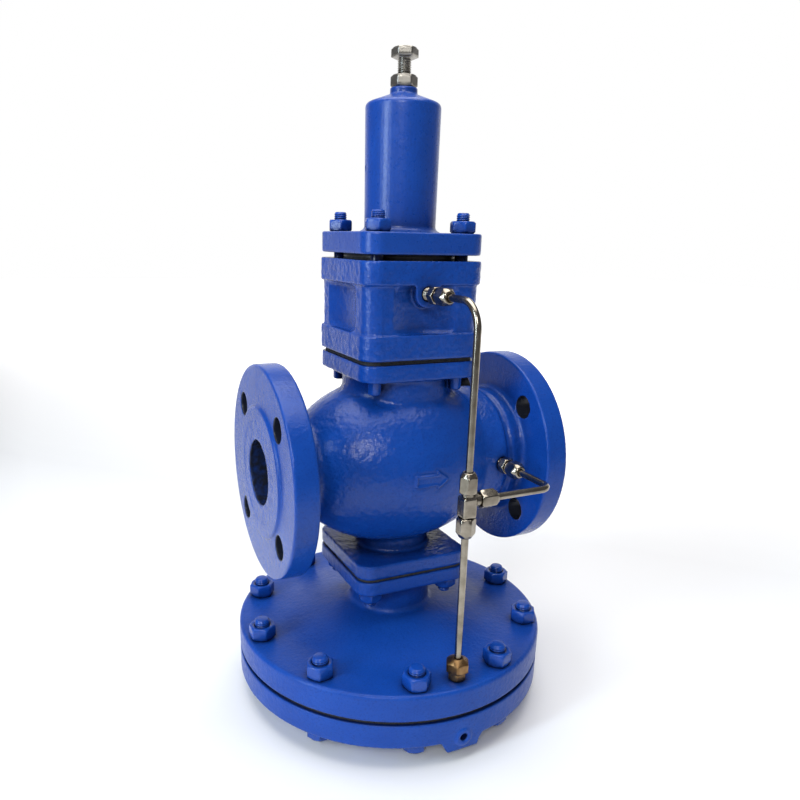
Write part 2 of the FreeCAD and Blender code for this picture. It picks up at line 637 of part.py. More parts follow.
def pilot_block():
    low = square_plate(BLOCK_HALF, SQUARE_CORNER, BLOCK_Z, BLOCK_BAND_Z, EDGE)
    waist = square_plate(BLOCK_HALF - 2, SQUARE_CORNER - 1, BLOCK_BAND_Z - 3, BLOCK_BAND2_Z + 3)
    high = square_plate(BLOCK_HALF, SQUARE_CORNER, BLOCK_BAND2_Z, BLOCK_TOP_Z, EDGE)
    for turn in (0, 90, 180, 270):
        recess = scoop()
        recess.rotate(V(0, 0, 0), V(0, 0, 1), turn)
        waist = waist.cut(recess)
    root = BOSS_ROOT
    boss = drill(PORT_BOSS_R, V(0, -root, PORT_Z), V(0, -BLOCK_HALF, PORT_Z))
    hang = Part.makeBox(2 * PORT_BOSS_R, BLOCK_HALF - root, BLOCK_BAND2_Z + 3 - PORT_Z,
                        V(-PORT_BOSS_R, -BLOCK_HALF, PORT_Z))
    sense = drill(SENSE_BOSS_R, V(0, root, SENSE_Z), V(0, BLOCK_HALF, SENSE_Z))
    solid = union([low, waist, high, boss, hang, sense])
    cuts = holes(STUD_HOLE_R, BLOCK_Z, BLOCK_TOP_Z, CORNERS)
    cuts += [cylinder(SPRING_RECESS_R, BLOCK_Z, SPRING_TOP_Z), cylinder(PLUG_R, BLOCK_Z, PLUG_TOP_Z),
             cylinder(PILOT_BORE_R, PLUG_TOP_Z - 1, PILOT_SEAT_Z),
             cylinder(PILOT_SEAT_R, PILOT_SEAT_Z - 1, BLOCK_TOP_Z),
             cylinder(PILOT_CHAMBER_R, PILOT_CHAMBER_Z, BLOCK_TOP_Z)]
    across_z = PLUG_TOP_Z + 5.5
    cuts += [cylinder(DUCT_R, BLOCK_Z, across_z + 3, -DUCT_X, 0),
             drill(DUCT_R, V(-DUCT_X, 0, across_z), V(1 - PILOT_BORE_R, 0, across_z)),
             drill(CONTROL_THREAD_R, V(0, -BLOCK_HALF - 1, PORT_Z), V(0, 1 - root, PORT_Z)),
             drill(DUCT_R, V(0, -root, PORT_Z), V(0, 2 - PILOT_SEAT_R, PORT_Z)),
             drill(SENSE_THREAD_R, V(0, BLOCK_HALF + 1, SENSE_Z), V(0, root - 1.5, SENSE_Z)),
             drill(DUCT_R, V(0, root - 1, SENSE_Z), V(0, DUCT_X, SENSE_Z)),
             cylinder(DUCT_R, SENSE_Z, BLOCK_TOP_Z, 0, DUCT_X + 1)]
    return without(solid, cuts)


def pilot_chamber_plug():
    low = PLUG_TOP_Z - 6.5
    return turned([(0, low), (PLUG_R, low, 1), (PLUG_R, PLUG_TOP_Z), (0, PLUG_TOP_Z)])


def pilot_spring():
    return coil(PILOT_COIL, PLUG_TOP_Z, PLUNGER_Z)


def pilot_plunger():
    tail, collar, needle = 3.0, 5.5, 2.2
    return turned([(0, PLUNGER_Z - 4), (tail, PLUNGER_Z - 4), (tail, PLUNGER_Z), (collar, PLUNGER_Z, 1),
                   (collar, PILOT_SEAT_Z), (needle, PILOT_SEAT_Z), (needle, ROD_FOOT_Z), (0, ROD_FOOT_Z)])


def pilot_seat():
    bore, mouth, top = 3.0, 5.0, PILOT_SEAT_Z + 8
    return turned([(bore, PILOT_SEAT_Z), (PILOT_SEAT_R, PILOT_SEAT_Z), (PILOT_SEAT_R, top),
                   (mouth, top), (bore, top - 2)])


def pilot_strainer():
    return ring(PILOT_BORE_R - 0.6, PILOT_BORE_R - 1.4, PLUG_TOP_Z, PILOT_SEAT_Z)


def pilot_guide_bush():
    return ring(PILOT_SEAT_R, PUSH_ROD_R + RUN, PORT_Z + 6, PILOT_CHAMBER_Z)


def pilot_push_rod():
    button_r, button_z = 14, PILOT_DIAPHRAGM_Z - 3
    return turned([(0, ROD_FOOT_Z), (PUSH_ROD_R, ROD_FOOT_Z, 0.5), (PUSH_ROD_R, button_z),
                   (button_r, button_z, 1), (button_r, PILOT_DIAPHRAGM_Z), (0, PILOT_DIAPHRAGM_Z)])


def lower_pilot_gasket():
    return ring(PILOT_SHEET_R, PILOT_CHAMBER_R, BLOCK_TOP_Z, PILOT_DIAPHRAGM_Z)


def upper_pilot_gasket():
    return ring(PILOT_SHEET_R, PILOT_CHAMBER_R, PILOT_DIAPHRAGM_Z + PILOT_DIAPHRAGM_T, BONNET_Z)


def pilot_diaphragm():
    """Two thin round sheets, one on the other, that stop short of the studs."""
    low = PILOT_DIAPHRAGM_Z
    high = low + PILOT_DIAPHRAGM_T
    middle = (low + high) / 2
    return Part.makeCompound([cylinder(PILOT_SHEET_R, low, middle), cylinder(PILOT_SHEET_R, middle, high)])


# ---------------------------------------------------------------- bonnet and adjusting screw
def lower_spring_seat():
    low = PILOT_DIAPHRAGM_Z + PILOT_DIAPHRAGM_T
    top = SEAT_DISC_Z + 6
    return turned([(0, low), (LOWER_SEAT_R, low, 1), (LOWER_SEAT_R, SEAT_DISC_Z, 0.5),
                   (SPRING_PILOT_R, SEAT_DISC_Z),
                   (SPRING_PILOT_R, top, 1), (0, top)])


def adjusting_spring():
    return coil(ADJUSTING_COIL, SEAT_DISC_Z, SPRING_SEAT_Z)


def upper_spring_seat():
    low, top = SPRING_SEAT_Z - 5, SPRING_SEAT_Z + 5
    socket = STUD_R + 0.3
    return turned([(0, low), (SPRING_PILOT_R, low, 1), (SPRING_PILOT_R, SPRING_SEAT_Z),
                   (UPPER_SEAT_R, SPRING_SEAT_Z, 0.5), (UPPER_SEAT_R, top, 1), (socket, top),
                   (socket, SCREW_TIP_Z), (0, SCREW_TIP_Z)])


def bonnet():
    root_r = BONNET_R + 6
    shell = turned([(BONNET_BORE_R, BONNET_Z), (root_r, BONNET_Z), (root_r, BONNET_FLANGE_TOP_Z - 1),
                    (BONNET_R, BONNET_FLANGE_TOP_Z + 2.5, 3), (BONNET_TOP_R, SHOULDER_Z, 4),
                    (BOSS_R, CONE_END_Z, 1.5), (BOSS_R, BOSS_Z, 1), (STUD_R + RUN, BOSS_Z),
                    (STUD_R + RUN, BONNET_CEILING_Z), (BONNET_BORE_R, BONNET_CEILING_Z - 4)])
    flange = square_plate(SQUARE_HALF, SQUARE_CORNER, BONNET_Z, BONNET_FLANGE_TOP_Z, EDGE)
    flange = flange.cut(cylinder(BONNET_BORE_R, BONNET_Z, BONNET_FLANGE_TOP_Z))
    solid = union([shell, flange])
    angle = math.radians(VENT_ANGLE)
    outward = V(math.cos(angle), math.sin(angle), 0)
    vent = drill(VENT_R, outward * 15 + V(0, 0, VENT_Z), outward * (BONNET_R + 4) + V(0, 0, VENT_Z))
    cuts = holes(STUD_HOLE_R, BONNET_Z, BONNET_FLANGE_TOP_Z, CORNERS)
    return without(solid, cuts + [vent])


def adjusting_screw():
    shank = turned([(0, SCREW_TIP_Z), (STUD_R - 1, SCREW_TIP_Z), (STUD_R, SCREW_TIP_Z + 1),
                    (STUD_R, SCREW_HEAD_Z + 1), (0, SCREW_HEAD_Z + 1)])
    head = hexagon(M10_AF, SCREW_HEAD_Z, SCREW_TOP_Z)
    head.rotate(V(0, 0, 0), V(0, 0, 1), SCREW_TURN)
    return union([shank, head])


def lock_nut():
    nut = hexagon(M10_AF, BOSS_Z, LOCK_NUT_TOP_Z, STUD_R + RUN)
    nut.rotate(V(0, 0, 0), V(0, 0, 1), SCREW_TURN)
    return nut


def top_studs():
    low = BODY_TOP_FLANGE_Z - 10.5
    high = BONNET_FLANGE_TOP_Z + NUT_H + STUD_END
    stud = turned([(0, low), (STUD_R, low, 0.8), (STUD_R, high, 1.2), (0, high)])
    return Part.makeCompound(at(stud, CORNERS))


def top_nuts():
    nut = hexagon(M10_AF, BONNET_FLANGE_TOP_Z, BONNET_FLANGE_TOP_Z + NUT_H, STUD_R + LOOSE)
    return Part.makeCompound(at(nut, [(x, y, 12) for x, y in CORNERS]))


# ---------------------------------------------------------------- control line
def tube_nut(length, across=TUBE_AF):
    """A compression nut from z = 0 to length. The tube leaves at the far end, which is coned."""
    nut = hexagon(across, 0, length, chamfered=("low",))
    cone_r = across / 2 / math.cos(math.pi / 6)
    cone = turned([(0, 0), (cone_r, 0), (cone_r, length - 3.5), (TUBE_R + 1.6, length), (0, length)])
    nut = nut.common(cone)
    tube_hole = cylinder(TUBE_R + LOOSE, 0, length)
    return nut.cut(tube_hole).cut(cylinder(FITTING_R + LOOSE, 0, length - 6))


def connector(stub, hex_length, spigot, across=TUBE_AF, thread=CONTROL_THREAD_R):
    """A straight connector that seats at z = 0, with its thread below and its spigot above the hexagon."""
    solid = union([hexagon(across, 0, hex_length), cylinder(thread, -stub, 1),
                   cylinder(FITTING_R, hex_length - 1, hex_length + spigot)])
    end = hex_length + spigot
    return without(solid, [cylinder(FITTING_BORE_R, -stub, end),
                           cylinder(TUBE_R + LOOSE, end - SOCKET, end)])


def block_connector():
    stub = -PORT_HEX_Y - BLOCK_HALF + 10
    return aim(connector(stub, HEX_LENGTH, SPIGOT), FORWARD, V(0, PORT_HEX_Y, PORT_Z))


def block_tube_nut():
    return aim(tube_nut(SIDE_NUT_LENGTH), FORWARD, V(0, PORT_NUT_Y, PORT_Z))


def tube_end(hex_y):
    """Where a tube stops inside a connector whose hexagon starts at hex_y."""
    return hex_y - HEX_LENGTH - SPIGOT + SOCKET - TUBE_GAP


def pilot_tube():
    return bent_tube([V(0, TUBE_Y, TEE_Z + TEE_UP - SOCKET + TUBE_GAP), V(0, TUBE_Y, PORT_Z),
                      V(0, tube_end(PORT_HEX_Y), PORT_Z)], PORT_BEND)


def control_tee():
    centre = V(0, TUBE_Y, TEE_Z)
    body = Part.makeBox(2 * TEE_HALF, 2 * TEE_HALF, TEE_HIGH_Z - TEE_LOW_Z,
                        V(-TEE_HALF, TUBE_Y - TEE_HALF, TEE_LOW_Z))
    shapes = [body.makeFillet(1.6, body.Edges)]
    bores = []
    for way, reach in ((UP, TEE_UP), (-UP, TEE_DOWN), (V(1, 0, 0), TEE_SIDE)):
        end = centre + way * reach
        shapes.append(drill(FITTING_R, centre, end))
        bores.append(drill(FITTING_BORE_R, centre, end))
        bores.append(drill(TUBE_R + LOOSE, end - way * SOCKET, end))
    return without(union(shapes), bores)


def tee_upper_nut():
    return aim(tube_nut(TEE_NUT_LENGTH), UP, V(0, TUBE_Y, UPPER_NUT_Z))


def tee_lower_nut():
    return aim(tube_nut(TEE_NUT_LENGTH), -UP, V(0, TUBE_Y, TEE_LOW_Z))


def tee_branch_nut():
    return aim(tube_nut(TEE_NUT_LENGTH), V(1, 0, 0), V(BRANCH_NUT_X, TUBE_Y, TEE_Z))


def case_tube():
    low = UPPER_PLATE_Z + BRASS_HEX + BRASS_SPIGOT - SOCKET + TUBE_GAP
    return bent_tube([V(0, TUBE_Y, TEE_Z - TEE_DOWN + SOCKET - TUBE_GAP), V(0, TUBE_Y, low)], 0)


def brass_connector():
    return aim(connector(BRASS_STUB, BRASS_HEX, BRASS_SPIGOT), UP, CASE_FITTING)


def brass_nut():
    return aim(tube_nut(BRASS_NUT_LENGTH, BRASS_AF), UP, CASE_FITTING + UP * (BRASS_HEX + 0.2))


def bleed_tube():
    return bent_tube([V(TEE_SIDE - SOCKET + TUBE_GAP, TUBE_Y, TEE_Z), V(BLEED_X, TUBE_Y, TEE_Z),
                      V(BLEED_X, tube_end(BLEED_HEX_Y), TEE_Z)], BLEED_BEND)


def outlet_connector():
    stub = -BLEED_HEX_Y + BLEED_STEP_Y - 2
    return aim(connector(stub, HEX_LENGTH, SPIGOT), FORWARD, V(BLEED_X, BLEED_HEX_Y, TEE_Z))


def outlet_tube_nut():
    return aim(tube_nut(SIDE_NUT_LENGTH), FORWARD, V(BLEED_X, BLEED_NUT_Y, TEE_Z))


def bleed_orifice():
    """A small disc with a fine hole, at the bottom of the outlet connector's thread."""
    ends = (V(BLEED_X, BLEED_STEP_Y, TEE_Z), V(BLEED_X, BLEED_STEP_Y - 1.5, TEE_Z))
    return drill(CONTROL_THREAD_R, *ends).cut(drill(ORIFICE_R, *ends))


PARTS = [
    lower_diaphragm_case, lower_case_gasket, main_diaphragm, upper_case_gasket, upper_diaphragm_case,
    case_bolts, case_nuts, diaphragm_plate, stem_lock_nut, main_stem, neck_bush, case_flange_gasket,
    case_flange_studs, case_flange_nuts, valve_body, stem_guide_bush, seat_ring, main_valve_head,
    valve_head_nut, main_spring, body_gasket, pilot_block, pilot_chamber_plug, pilot_spring,
    pilot_plunger, pilot_seat, pilot_strainer, pilot_guide_bush, pilot_push_rod, lower_pilot_gasket,
    pilot_diaphragm, upper_pilot_gasket, lower_spring_seat, adjusting_spring, upper_spring_seat, bonnet,
    adjusting_screw, lock_nut, top_studs, top_nuts, block_connector, block_tube_nut, pilot_tube,
    control_tee, tee_upper_nut, tee_lower_nut, tee_branch_nut, case_tube, brass_connector, brass_nut,
    bleed_tube, outlet_connector, outlet_tube_nut, bleed_orifice,
]

os.makedirs("parts", exist_ok=True)
for make in PARTS:
    shape = make()
    box = shape.BoundBox
    print(make.__name__, "solids", len(shape.Solids), "valid", shape.isValid(),
          "volume", round(shape.Volume), "z", round(box.ZMin, 2), round(box.ZMax, 2))
    shape.exportStep("parts/" + make.__name__ + ".step")
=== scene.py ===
import json
import math

import bmesh
import bpy
import numpy as np
from mathutils import Matrix, Vector, noise


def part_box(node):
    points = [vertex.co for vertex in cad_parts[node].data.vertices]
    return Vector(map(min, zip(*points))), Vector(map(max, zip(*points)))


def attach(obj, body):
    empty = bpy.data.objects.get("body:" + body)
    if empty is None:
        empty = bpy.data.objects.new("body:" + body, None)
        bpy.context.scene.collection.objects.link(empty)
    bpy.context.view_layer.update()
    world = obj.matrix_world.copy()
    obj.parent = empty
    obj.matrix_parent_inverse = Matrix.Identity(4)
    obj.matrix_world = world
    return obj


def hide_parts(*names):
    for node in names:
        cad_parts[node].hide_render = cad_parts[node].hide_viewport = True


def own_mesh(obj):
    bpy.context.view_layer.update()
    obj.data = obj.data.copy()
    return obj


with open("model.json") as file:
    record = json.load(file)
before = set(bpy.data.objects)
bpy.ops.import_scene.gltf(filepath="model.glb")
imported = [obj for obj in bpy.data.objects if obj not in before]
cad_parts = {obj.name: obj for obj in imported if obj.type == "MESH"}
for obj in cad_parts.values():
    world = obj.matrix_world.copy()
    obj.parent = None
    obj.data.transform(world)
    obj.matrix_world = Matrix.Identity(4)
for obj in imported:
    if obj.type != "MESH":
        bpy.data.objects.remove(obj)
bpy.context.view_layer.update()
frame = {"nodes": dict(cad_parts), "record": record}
NODES = frame["nodes"]
BODY_OF = {node: body for body, nodes in frame["record"]["behaviour"]["bodies"].items() for node in nodes}
MM = 0.001
scene = bpy.context.scene


# ---------------------------------------------------------------- materials
class Surface:
    """A procedural material: a Principled shader and the nodes that drive it, in object coordinates."""

    def __init__(self, name, metallic=0.0):
        self.material = bpy.data.materials.new(name)
        self.material.use_nodes = True
        self.tree = self.material.node_tree
        self.tree.nodes.clear()
        self.shader = self.add("ShaderNodeBsdfPrincipled")
        output = self.add("ShaderNodeOutputMaterial")
        self.join(self.shader.outputs["BSDF"], output.inputs["Surface"])
        self.shader.inputs["Metallic"].default_value = metallic
        self.shader.inputs["IOR"].default_value = 1.5
        self.place = self.add("ShaderNodeTexCoord").outputs["Object"]

    def add(self, kind):
        return self.tree.nodes.new(kind)

    def join(self, source, target):
        self.tree.links.new(source, target)

    def noise(self, per_metre, detail=2.0, roughness=0.5, stretch=(1, 1, 1)):
        """Noise with per_metre cells to the metre, more along each axis by stretch."""
        scale = self.add("ShaderNodeMapping")
        scale.inputs["Scale"].default_value = stretch
        self.join(self.place, scale.inputs["Vector"])
        texture = self.add("ShaderNodeTexNoise")
        texture.inputs["Scale"].default_value = per_metre
        texture.inputs["Detail"].default_value = detail
        texture.inputs["Roughness"].default_value = roughness
        self.join(scale.outputs["Vector"], texture.inputs["Vector"])
        return texture.outputs["Fac"]

    def ramp(self, value, stops):
        """Colours at stops of (position, (r, g, b))."""
        ramp = self.add("ShaderNodeValToRGB")
        elements = ramp.color_ramp.elements
        while len(elements) < len(stops):
            elements.new(0.5)
        for element, (position, colour) in zip(elements, stops):
            element.position = position
            element.color = (*colour, 1)
        self.join(value, ramp.inputs["Fac"])
        return ramp.outputs["Color"]

    def mapped(self, value, low, high, to_low, to_high):
        ranger = self.add("ShaderNodeMapRange")
        for name, number in (("From Min", low), ("From Max", high), ("To Min", to_low), ("To Max", to_high)):
            ranger.inputs[name].default_value = number
        self.join(value, ranger.inputs["Value"])
        return ranger.outputs["Result"]

    def mix(self, factor, first, second):
        mixer = self.add("ShaderNodeMix")
        mixer.data_type = "RGBA"
        self.join(factor, mixer.inputs["Factor"])
        for source, target in ((first, mixer.inputs["A"]), (second, mixer.inputs["B"])):
            if isinstance(source, tuple):
                target.default_value = (*source, 1)
            else:
                self.join(source, target)
        return mixer.outputs["Result"]

    def corners(self, distance, darkest, lightest):
        """From 1 in tight corners to 0 on open faces, from ambient occlusion: the mask of painted shade."""
        shade = self.add("ShaderNodeAmbientOcclusion")
        shade.samples = 6
        shade.inputs["Distance"].default_value = distance
        return self.mapped(shade.outputs["AO"], darkest, lightest, 1, 0)

    def passage(self, height, offset, radius, from_x=0.0):
        """1 within radius of the lines along X that lie offset beside and above or below this height, where
        x is at least from_x on either side, and 0 elsewhere."""
        shift = self.add("ShaderNodeVectorMath")
        shift.operation = "SUBTRACT"
        shift.inputs[1].default_value = (0, 0, height)
        fold = self.add("ShaderNodeVectorMath")
        fold.operation = "ABSOLUTE"
        centre = self.add("ShaderNodeVectorMath")
        centre.operation = "SUBTRACT"
        centre.inputs[1].default_value = (0, offset, offset)
        flat = self.add("ShaderNodeVectorMath")
        flat.operation = "MULTIPLY"
        flat.inputs[1].default_value = (0, 1, 1)
        length = self.add("ShaderNodeVectorMath")
        length.operation = "LENGTH"
        self.join(self.place, shift.inputs[0])
        self.join(shift.outputs["Vector"], fold.inputs[0])
        self.join(fold.outputs["Vector"], centre.inputs[0])
        self.join(centre.outputs["Vector"], flat.inputs[0])
        self.join(flat.outputs["Vector"], length.inputs[0])
        inside = self.mapped(length.outputs["Value"], radius - 0.0004, radius + 0.0004, 1, 0)
        if not from_x:
            return inside
        split = self.add("ShaderNodeSeparateXYZ")
        self.join(fold.outputs["Vector"], split.inputs[0])
        both = self.add("ShaderNodeMath")
        both.operation = "MULTIPLY"
        self.join(inside, both.inputs[0])
        self.join(self.mapped(split.outputs["X"], from_x - 0.0004, from_x, 0, 1), both.inputs[1])
        return both.outputs["Value"]

    def bumps(self, *layers):
        """Bump layers of (height, distance in metres), one on the other."""
        normal = None
        for height, distance in layers:
            bump = self.add("ShaderNodeBump")
            bump.inputs["Strength"].default_value = 1.0
            bump.inputs["Distance"].default_value = distance
            self.join(height, bump.inputs["Height"])
            if normal is not None:
                self.join(normal, bump.inputs["Normal"])
            normal = bump.outputs["Normal"]
        self.join(normal, self.shader.inputs["Normal"])

    def colour(self, source):
        self.join(source, self.shader.inputs["Base Color"])

    def gloss(self, source):
        self.join(source, self.shader.inputs["Roughness"])


def paint(name, cast, grain, tint=1.0, bare_and_shaded=(), sheen=0.38, rough=(0.17, 0.27)):
    """Blue enamel. cast is the depth of the sand-cast grain below it, grain its cells to the metre.
    Tight corners get painted shade, darkened by ambient occlusion. The bare passages, as in Surface.passage,
    were left unpainted, and their near-black colour also paints in the shade inside them. sheen is the
    shader's specular level."""
    s = Surface(name)
    blue = s.ramp(s.noise(26, 4, 0.6), [(0.30, (0.0045 * tint, 0.050 * tint, 0.300 * tint)),
                                        (0.70, (0.0065 * tint, 0.064 * tint, 0.360 * tint))])
    speckled = s.mix(s.mapped(s.noise(700, 3), 0.52, 0.70, 0, 0.55), blue, (0.004, 0.034, 0.200))
    # Painted shade: tight corners darken towards a deep blue wherever ambient occlusion finds them.
    shaded = s.mix(s.corners(0.016, 0.35, 0.88), speckled, (0.003, 0.010, 0.055))
    # Bare passages are unpainted, and their near-black colour also paints in the shade inside them.
    for passage in bare_and_shaded:
        shaded = s.mix(s.passage(*passage), shaded, (0.012, 0.015, 0.026))
    s.colour(shaded)
    s.shader.inputs["Specular IOR Level"].default_value = sheen
    s.gloss(s.mapped(s.noise(240, 3), 0.3, 0.7, *rough))
    s.bumps((s.noise(grain, 3, 0.6), cast), (s.noise(grain * 3.2, 2, 0.5), cast * 0.25),
            (s.noise(60, 2), cast * 1.2))
    return s.material


def metal(name, dark, light, rough, stretch=(1, 1, 1), depth=4e-6):
    """Bare metal with drawing or turning lines of this depth, and dull patches."""
    lines, patches = 600, 90
    # The colour of painted shade in tight corners, from ambient occlusion.
    corner_shade = (0.05, 0.04, 0.03)
    s = Surface(name, metallic=1.0)
    base = s.ramp(s.noise(patches, 4, 0.6), [(0.35, dark), (0.65, light)])
    # Painted shade: tight corners darken by ambient occlusion.
    s.colour(s.mix(s.corners(0.004, 0.2, 0.8), base, corner_shade))
    s.gloss(s.mapped(s.noise(lines, 3, 0.6, stretch), 0.3, 0.7, rough * 0.75, rough * 1.35))
    s.bumps((s.noise(lines, 3, 0.6, stretch), depth), (s.noise(patches, 2), depth * 4))
    return s.material


def gasket_material():
    s = Surface("gasket_sheet")
    s.colour(s.ramp(s.noise(700, 3), [(0.35, (0.010, 0.010, 0.012)), (0.65, (0.030, 0.030, 0.034))]))
    s.gloss(s.mapped(s.noise(300, 2), 0.3, 0.7, 0.6, 0.85))
    s.bumps((s.noise(1200, 3), 6e-5))
    return s.material


def floor_material():
    """White below and behind the object and lit from within far away, grey in front and to the left as
    painted shade, where the lamps' light would fall off.
    """
    s = Surface("studio_floor")
    at = s.add("ShaderNodeSeparateXYZ")
    s.join(s.place, at.inputs[0])
    # Painted shade: the floor turns grey in front and to the left.
    ahead = s.mapped(at.outputs["Y"], -1.3, -0.42, 0, 1)
    pale = s.mix(ahead, (0.32, 0.32, 0.32), (0.93, 0.93, 0.93))
    s.colour(s.mix(s.mapped(at.outputs["X"], -0.9, -0.30, 0, 1), (0.32, 0.32, 0.32), pale))
    s.gloss(s.mapped(s.noise(30, 2), 0.3, 0.7, 0.55, 0.65))
    s.shader.inputs["Emission Color"].default_value = (1, 1, 1, 1)
    away = s.add("ShaderNodeMath")
    away.operation = "ADD"
    s.join(at.outputs["X"], away.inputs[0])
    s.join(at.outputs["Y"], away.inputs[1])
    s.join(s.mapped(away.outputs["Value"], 0.5, 2.2, 0, 1), s.shader.inputs["Emission Strength"])
    return s.material


PIPE_Z = 0.200
BORE_R, BOLT_HOLE_R, BOLT_OFFSET = 0.0255, 0.0097, 0.04419
FLANGE_BACK_X, FLANGE_FRONT_X = 0.0945, 0.1130
CAST_PAINT = paint("cast_paint", 3.8e-4, 460)
BODY_PAINT = paint("body_paint", 3.0e-4, 430, bare_and_shaded=[
    (PIPE_Z, 0.0, BORE_R), (PIPE_Z, BOLT_OFFSET, BOLT_HOLE_R, FLANGE_BACK_X + 0.0006)], sheen=0.30)
CASE_PAINT = paint("case_paint", 3.0e-4, 330, 1.08, sheen=0.24, rough=(0.28, 0.42))
SMOOTH_PAINT = paint("machined_paint", 1.6e-4, 420, sheen=0.46, rough=(0.26, 0.35))
FASTENER_PAINT = paint("fastener_paint", 0.7e-4, 900, 1.1)
STEEL = metal("turned_steel", (0.24, 0.22, 0.19), (0.36, 0.34, 0.30), 0.36, depth=1.2e-6)
STAINLESS = metal("drawn_stainless", (0.23, 0.20, 0.155), (0.36, 0.32, 0.26), 0.20, (8, 8, 0.4), 1.5e-6)
BRASS = metal("tarnished_brass", (0.20, 0.11, 0.045), (0.36, 0.22, 0.10), 0.34)
BRONZE = metal("turned_bronze", (0.34, 0.22, 0.11), (0.48, 0.32, 0.17), 0.35)
SPRING = metal("spring_wire", (0.20, 0.20, 0.20), (0.34, 0.34, 0.34), 0.35)
SHEET = metal("rolled_sheet", (0.07, 0.07, 0.07), (0.14, 0.14, 0.14), 0.45)
GASKET = gasket_material()

BY_SLOT = {"blue_paint": SMOOTH_PAINT, "blue_fasteners": FASTENER_PAINT, "bare_steel": STEEL,
           "stainless_tube": STAINLESS, "brass": BRASS, "gasket": GASKET, "steel_sheet": SHEET,
           "spring_steel": SPRING, "bronze_bush": BRONZE}
SLOT_OF = {}
for node, thing in NODES.items():
    for place in thing.material_slots:
        SLOT_OF[node] = place.material.name.split(".")[0]
        place.material = BY_SLOT[SLOT_OF[node]]


# ---------------------------------------------------------------- pieces
def add_piece(name, mesh, material, node):
    """Makes a mesh a smooth-shaded piece that stands for a CAD node and rides on its body."""
    mesh.shade_smooth()
    mesh.materials.clear()
    mesh.materials.append(material)
    piece = bpy.data.objects.new(name, mesh)
    scene.collection.objects.link(piece)
    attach(piece, BODY_OF[node])
    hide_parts(node)
    return piece


def welded(node):
    """A copy of a CAD node's mesh, its faces joined along their edges."""
    mesh = NODES[node].data.copy()
    work = bmesh.new()
    work.from_mesh(mesh)
    bmesh.ops.remove_doubles(work, verts=work.verts, dist=2e-6)
    work.to_mesh(mesh)
    work.free()
    return mesh


def casting(name, node, material, voxel, depth, rough_at, smooth=3, relief=lambda p: 0.0):
    """A cast piece: the CAD shape with soft edges and an uneven surface. rough_at gives, from a point and
    its normal, how much of depth shows there, and relief how far it sinks besides, in metres. The surface
    only moves inward."""
    piece = bpy.data.objects.new("casting_work", welded(node))
    scene.collection.objects.link(piece)
    remesh = piece.modifiers.new("cells", "REMESH")
    remesh.mode = "VOXEL"
    remesh.voxel_size = voxel * 1
    soften = piece.modifiers.new("soften", "SMOOTH")
    soften.factor = 0.5
    soften.iterations = smooth
    bpy.context.view_layer.update()
    mesh = bpy.data.meshes.new_from_object(piece.evaluated_get(bpy.context.evaluated_depsgraph_get()))
    bpy.data.objects.remove(piece)
    if "custom_normal" in mesh.attributes:
        mesh.attributes.remove(mesh.attributes["custom_normal"])
    count = len(mesh.vertices)
    points = np.empty(count * 3)
    normals = np.empty(count * 3)
    mesh.vertices.foreach_get("co", points)
    mesh.vertex_normals.foreach_get("vector", normals)
    points, normals = points.reshape(-1, 3), normals.reshape(-1, 3)
    moved = points.copy()
    for i in range(count):
        share = rough_at(points[i], normals[i])
        if share > 0:
            p = Vector(points[i])
            dip = 0.5 + 0.5 * noise.noise(p * 230) + 0.3 * noise.noise(p * 90 + Vector((7, 3, 5)))
            dip += 0.3 * noise.noise(p * 480 + Vector((2, 9, 4)))
            moved[i] -= normals[i] * (depth * share * min(max(dip, 0.0), 1.3) + relief(p))
    mesh.vertices.foreach_set("co", moved.ravel())
    mesh.update()
    return add_piece(name, mesh, material, node)


def pipe_radius(p, axis_z):
    return math.hypot(p[1], p[2] - axis_z)


SKIN = 0.0006               # machined ends within this of a casting's end stay flat
RIM_TOP = 0.034             # above the upper case's foot, where its machined rim ends
LOWER_RIM_Z = 0.016
BONNET_FLANGE_H = 0.018
BODY_LOW, BODY_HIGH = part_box("valve_body")
BONNET_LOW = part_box("bonnet")[0].z
UPPER_CASE_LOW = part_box("upper_diaphragm_case")[0].z


def by_arrow(p):
    return abs(p[0]) < 0.018 and abs(p[2] - PIPE_Z) < 0.011 and p[1] < -0.06


def arrow_distance(x, z):
    """From a point of the globe's front to the outline of the flow arrow, in metres, negative inside it."""
    tail, neck, tip = -0.0148, 0.0035, 0.0139
    shaft, head = 0.0048, 0.0078
    corners = [(tail, -shaft), (neck, -shaft), (neck, -head), (tip, 0.0), (neck, head), (neck, shaft),
               (tail, shaft)]
    z -= PIPE_Z + 0.0008
    nearest, inside = 1.0, False
    for (ax, az), (bx, bz) in zip(corners, corners[1:] + corners[:1]):
        run = (bx - ax) ** 2 + (bz - az) ** 2
        share = min(1, max(0, ((x - ax) * (bx - ax) + (z - az) * (bz - az)) / run))
        nearest = min(nearest, math.hypot(x - ax - share * (bx - ax), z - az - share * (bz - az)))
        if (az > z) != (bz > z) and x < (bx - ax) * (z - az) / (bz - az) + ax:
            inside = not inside
    return -nearest if inside else nearest


def arrow_relief(p):
    """How far the surface sinks beside the flow arrow and inside its raised outline, in metres."""
    if not by_arrow(p):
        return 0.0
    beside, width = 0.0008, 0.0022
    within, outline, slope = 0.0009, 0.0012, 0.0007
    away = arrow_distance(p[0], p[2])
    if away > 0:
        return beside * max(0.0, 1 - away / width)
    return within * min(1.0, max(0.0, (-away - outline) / slope))


def body_rough(p, n):
    if abs(p[0]) > FLANGE_BACK_X - 0.0013 and pipe_radius(p, PIPE_Z) > 0.040:
        return 0.25 if abs(p[0]) < FLANGE_FRONT_X - 0.0005 else 0.10
    if by_arrow(p):
        return 0.25
    if p[2] < BODY_LOW.z + SKIN or p[2] > BODY_HIGH.z - SKIN:
        return 0.0
    return 1.0


